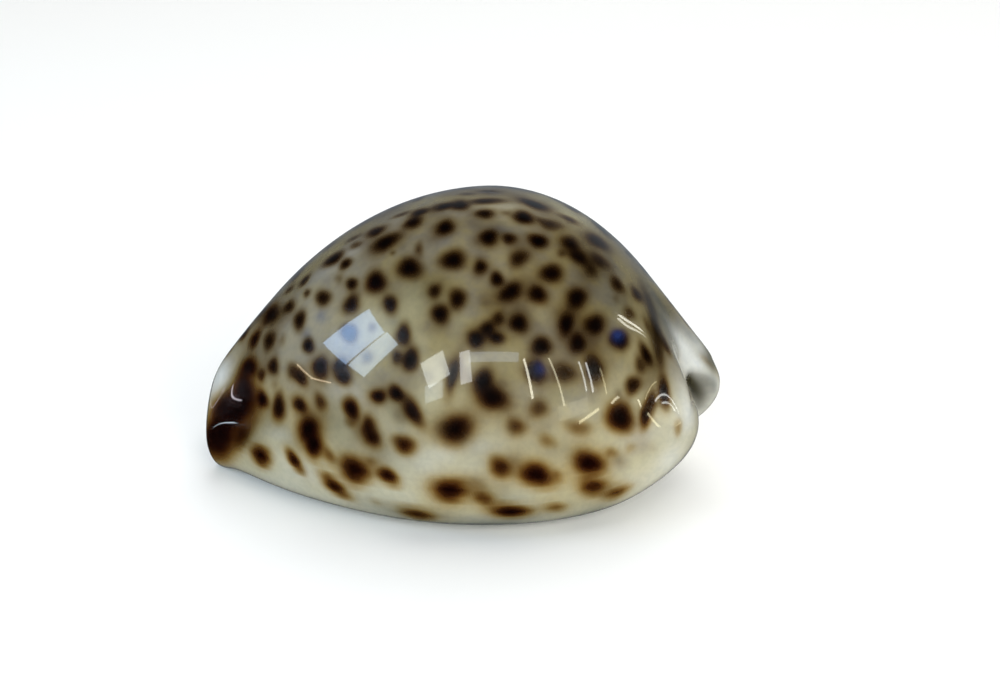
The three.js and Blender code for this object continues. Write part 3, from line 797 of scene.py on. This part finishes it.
def enamelMaterial():
    # the ground's tints lie over each other, and the pigment of the spots takes light away from them all
    material = bpy.data.materials.new("spotted enamel")
    graph = Graph(material)
    place = graph.node("ShaderNodeTexCoord", output="Object")
    dark = graph.attribute("dark")
    low = graph.attribute("low")
    broad, cloud, fine, fleck = (graph.noise(place, *enamel["noises"][name])
                                 for name in ("broad", "cloud", "fine", "fleck"))

    def tint(ground, share, name, way="MIX"):
        return graph.blend(share, ground, solid(enamel[name]), way)

    ground = tint(solid(enamel["backOlive"]), graph.shares(cloud, *enamel["greyStarts"]), "backGrey")
    ground = tint(ground, graph.shares(broad, *enamel["paleStarts"]), "backPale")
    side = tint(solid(enamel["side"]), graph.shares(broad, *enamel["sideWarmStarts"]), "sideWarm")
    ground = graph.blend(low, ground, side)
    ground = tint(ground, graph.attribute("haze"), "haze", "MULTIPLY")
    ground = tint(ground, graph.attribute("bare"), "base")
    ground = tint(ground, graph.attribute("inside"), "inside")
    # white callus, with painted sheen and reflection in places
    ground = tint(ground, graph.attribute("callus"), "callus")
    ground = tint(ground, graph.attribute("deep") * enamel["deepStrength"], "deepSpot")
    # painted shade, shadow and dark reflection, with some grey-brown tone, multiplied into the ground
    ground = tint(ground, graph.attribute("shade"), "shade", "MULTIPLY")
    ground = tint(ground, graph.shares(fleck, *enamel["fleckStarts"]), "fleck", "MULTIPLY")

    uneven = 1 + (fine - 0.5) * enamel["unevenFine"] + (cloud - 0.5) * enamel["unevenCloud"]
    thickness = (dark * uneven).clamped()
    warmth = graph.shares(low * enamel["caramelLow"] + cloud, *enamel["caramelStarts"])
    spots = graph.blend(warmth, graph.ramp(thickness, pigmentStops("black")),
                        graph.ramp(thickness, pigmentStops("caramel")))
    colour = graph.blend(1.0, ground, spots, "MULTIPLY")
    # painted reflection of blue sky on some dark spots
    colour = tint(colour, graph.attribute("blue"), "blue")
    # painted shade in the spire canal's hollow
    colour = tint(colour, graph.attribute("hollow"), "hollow", "MULTIPLY")

    rough = enamel["roughness"] + (fine - 0.5) * enamel["roughnessVaries"]
    bump = enamel["bump"]
    height = fine * bump["fine"] + cloud + broad * bump["broad"]
    normal = graph.node("ShaderNodeBump", {}, {
        "Strength": bump["strength"], "Distance": bump["distance"], "Height": height,
    })
    shader = graph.node("ShaderNodeBsdfPrincipled", {}, {
        "Base Color": colour, "Roughness": rough, "Normal": normal, "IOR": enamel["ior"],
        "Specular IOR Level": enamel["specular"],
        "Coat Weight": 1.0, "Coat Roughness": enamel["coatRoughness"], "Coat IOR": enamel["coatIor"],
    })
    graph.node("ShaderNodeOutputMaterial", {}, {"Surface": shader})
    return material


def addShell():
    rows, places = buildShell()
    marks = paintMarks(rows, places)
    rowPlace = np.repeat(places, rows.shape[1])
    fields = {
        **marks,
        "dark": marks["dark"] * (1 - smoothStep(*fieldFades["dark"], rowPlace)),
        "hollow": marks["hollow"] * smoothStep(*fieldFades["hollow"], rowPlace),
        "low": 1 - smoothStep(*fieldFades["low"], rows[..., 2].ravel()),
        "bare": smoothStep(*fieldFades["bare"], rowPlace),
        "inside": smoothStep(*fieldFades["inside"], rowPlace),
    }
    mesh = shellMesh(rows, fields)
    shell = bpy.data.objects.new("spotted_shell", mesh)
    bpy.context.scene.collection.objects.link(shell)
    mesh.materials.append(enamelMaterial())
    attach(shell, "root")
    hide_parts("shell")
    print("shell mesh:", len(mesh.vertices), "vertices")
    return rows, places


# metres, with the top just under the shell so that the two don't flicker
table = {"size": 1.6, "clearance": 0.00005, "colour": paint(250, 250, 248), "roughness": 0.6, "specular": 0.2}


def addTable():
    half = table["size"] / 2
    z = -table["clearance"]
    corners = [(-half, -half, z), (half, -half, z), (half, half, z), (-half, half, z)]
    mesh = bpy.data.meshes.new("table_top")
    mesh.from_pydata(corners, [], [(0, 1, 2, 3)])
    top = bpy.data.objects.new("table_top", mesh)
    bpy.context.scene.collection.objects.link(top)
    material = bpy.data.materials.new("pale table")
    graph = Graph(material)
    shader = graph.node("ShaderNodeBsdfPrincipled", {}, {
        "Base Color": solid(table["colour"]), "Roughness": table["roughness"],
        "Specular IOR Level": table["specular"],
    })
    graph.node("ShaderNodeOutputMaterial", {}, {"Surface": shader})
    mesh.materials.append(material)
    top.visible_glossy = False
    print("table top laid")


# Each light stands where its reflection shows in the photo, and is as long and wide as that reflection:
# the reflection's middle, half length and half width in pixels, and the light that it adds to the picture.
mirroredLights = {
    "left window, upper pane": ((355.5, 336.3), (21.5, -16.5), (9.5, 11.5), (0.15, 0.22, 0.33)),
    "left window, lower pane": ((374.5, 354), (18.5, -16.5), (6.3, 6.5), (0.20, 0.26, 0.32)),
    "thin line, upper": ((304, 371), (7.5, 7), (0.6, -0.6), (0.34, 0.27, 0.18)),
    "thin line, lower": ((321, 380.5), (10, 2.5), (0.2, -0.8), (0.34, 0.27, 0.18)),
    "middle pane": ((435.5, 369), (11, -7), (3, 13), (0.28, 0.30, 0.29)),
    "middle pane, foot": ((434, 392), (9, -3), (-1, 9), (0.11, 0.13, 0.15)),
    "middle strip": ((465.5, 367), (1, 16), (5.5, -1), (0.26, 0.27, 0.28)),
    "middle band": ((494, 357), (25, 0), (0, 5), (0.08, 0.10, 0.13)),
    "first streak": ((528.5, 378), (4.5, 20), (1.1, -0.3), (0.62, 0.60, 0.48)),
    "second streak": ((557, 381), (8, 24), (0.8, -0.3), (0.36, 0.34, 0.24)),
    "third streak": ((583, 376), (4, 15), (0.8, -0.2), (0.40, 0.42, 0.40)),
    "fourth streak": ((590, 377), (4, 15), (0.9, -0.2), (0.46, 0.47, 0.45)),
    "fifth streak": ((604, 381), (3.5, 13), (0.7, -0.2), (0.22, 0.20, 0.12)),
    "low arc": ((589, 416), (10, -7), (0.8, 1.2), (0.36, 0.33, 0.21)),
    "low haze": ((574, 409), (15, -5), (2, 7), (0.07, 0.065, 0.045)),
    "low tick": ((615, 400), (3.5, -3.5), (0.8, 0.8), (0.45, 0.43, 0.32)),
    "right line, outer": ((626, 320.5), (9, 6.5), (0.7, -0.8), (0.50, 0.49, 0.43)),
    "right line, inner": ((624, 323.5), (7.5, 6), (0.7, -0.8), (0.40, 0.39, 0.34)),
    "front streak": ((234, 395), (3, 8), (0.7, -0.3), (0.26, 0.24, 0.27)),
    "front pane": ((231, 423), (3, 0.6), (-0.4, 1.6), (0.24, 0.28, 0.32)),
}
mirroring = {
    "distance": 0.8,    # metres from the shell to each light
    "share": 0.05,      # how much light the enamel sends back straight on
    "leastReach": 6,    # pixels round a reflection that its light is fitted to at the least
    "thinnest": 0.002,  # metres
    "rows": 1,          # row place that bounds the surface that the reflections are on
}
# wide soft lights that the gloss doesn't mirror, at a place in metres
softLights = {
    "overhead": {"place": (0.1, 0.3, 1.3), "size": 1.6, "power": 12, "colour": (1.0, 0.99, 0.97)},
    "key": {"place": (0.75, -0.8, 0.5), "size": 0.7, "power": 7.5, "colour": (1.0, 0.98, 0.95)},
    "backdrop wash": {"place": (0.0, 1.7, 1.2), "size": 1.8, "power": 12, "colour": (1.0, 1.0, 1.0)},
}
# what lights the shell from all round, and what the gloss mirrors in front of it and behind it
sky = {
    "light": paint(150, 152, 153), "front": paint(12, 13, 15), "behind": paint(116, 122, 128),
    "turns": (0.62, 0.98),  # how far back the front's dark starts to clear, and has cleared
    "backdrop": paint(244, 245, 246),
}


def addAreaLight(name, size, power, colour):
    data = bpy.data.lights.new(name, "AREA")
    data.shape = "RECTANGLE"
    data.size, data.size_y = size
    data.energy = power
    data.color = colour
    lamp = bpy.data.objects.new(name, data)
    bpy.context.scene.collection.objects.link(lamp)
    return lamp


def addMirroredLights(rows, places):
    normals = surfaceNormals(rows).reshape(-1, 3)
    points = rows.reshape(-1, 3)
    pixels, depth = photoPixels(points)
    toCamera = cameraPlace - points
    onBack = np.repeat(places, rows.shape[1]) < mirroring["rows"]
    facing = np.flatnonzero(((toCamera * normals).sum(1) > 0) & onBack)
    for name, (pixel, halfLength, halfWidth, glow) in mirroredLights.items():
        place = placeSeenAt(pixel, pixels, depth, facing)
        reach = max(mirroring["leastReach"], np.hypot(*halfLength), np.hypot(*halfWidth))
        around = facing[np.hypot(*(pixels[facing] - pixel).T) < reach]
        around = around[np.abs(depth[around] - depth[place]) < reach]
        view = -toCamera[around] / np.linalg.norm(toCamera[around], axis=1)[:, None]
        bounce = view - 2 * (view * normals[around]).sum(1)[:, None] * normals[around]
        out = bounce.mean(0) / np.linalg.norm(bounce.mean(0))
        # where the mirrored rays of the pixels around meet the light's plane, as a linear map from pixels
        start = points[around] * mm
        middle = start.mean(0) + out * mirroring["distance"]
        hits = start + bounce * (((middle - start) @ out) / (bounce @ out))[:, None]
        offsets = pixels[around] - pixel
        spread = np.linalg.lstsq(np.c_[offsets, np.ones(len(offsets))], hits, rcond=None)[0]
        along = np.array(halfLength) @ spread[:2]
        across = np.array(halfWidth) @ spread[:2]
        x = along / np.linalg.norm(along)
        y = np.cross(out, x)
        size = 2 * np.linalg.norm(along), max(2 * abs(across @ y), mirroring["thinnest"])

        brightest = max(glow)
        power = brightest / mirroring["share"] * math.pi * size[0] * size[1]
        lamp = addAreaLight(name, size, power, [g / brightest for g in glow])
        turned = Matrix((x, y, out)).transposed().to_4x4()
        lamp.matrix_world = Matrix.Translation(Vector(spread[2])) @ turned
    print("mirrored lights:", len(mirroredLights))


def addSoftLights():
    for name, light in softLights.items():
        lamp = addAreaLight(name, (light["size"], light["size"]), light["power"], light["colour"])
        lamp.location = light["place"]
        lamp.rotation_euler = lamp.location.to_track_quat("Z", "Y").to_euler()
        lamp.visible_glossy = False
    print("soft lights:", len(softLights))


def addSky():
    world = bpy.data.worlds.new("studio")
    bpy.context.scene.world = world
    graph = Graph(world)
    place = graph.node("ShaderNodeTexCoord", output="Generated")
    behind = graph.node("ShaderNodeSeparateXYZ", {}, {"Vector": place}, "Y")
    starts, cleared = sky["turns"]
    mirrored = graph.ramp(behind, [(starts, sky["front"]), (cleared, sky["behind"])])
    glossy = graph.node("ShaderNodeLightPath", output="Is Glossy Ray")
    colour = graph.blend(glossy, solid(sky["light"]), mirrored)
    inView = graph.node("ShaderNodeLightPath", output="Is Camera Ray")
    colour = graph.blend(inView, colour, solid(sky["backdrop"]))
    light = graph.node("ShaderNodeBackground", {}, {"Color": colour, "Strength": 1.0})
    graph.node("ShaderNodeOutputWorld", {}, {"Surface": light})
    bpy.context.scene.view_settings.view_transform = "Standard"
    print("sky lit")


addCamera()
shellSurface, shellPlaces = addShell()
addTable()
addMirroredLights(shellSurface, shellPlaces)
addSoftLights()
addSky()
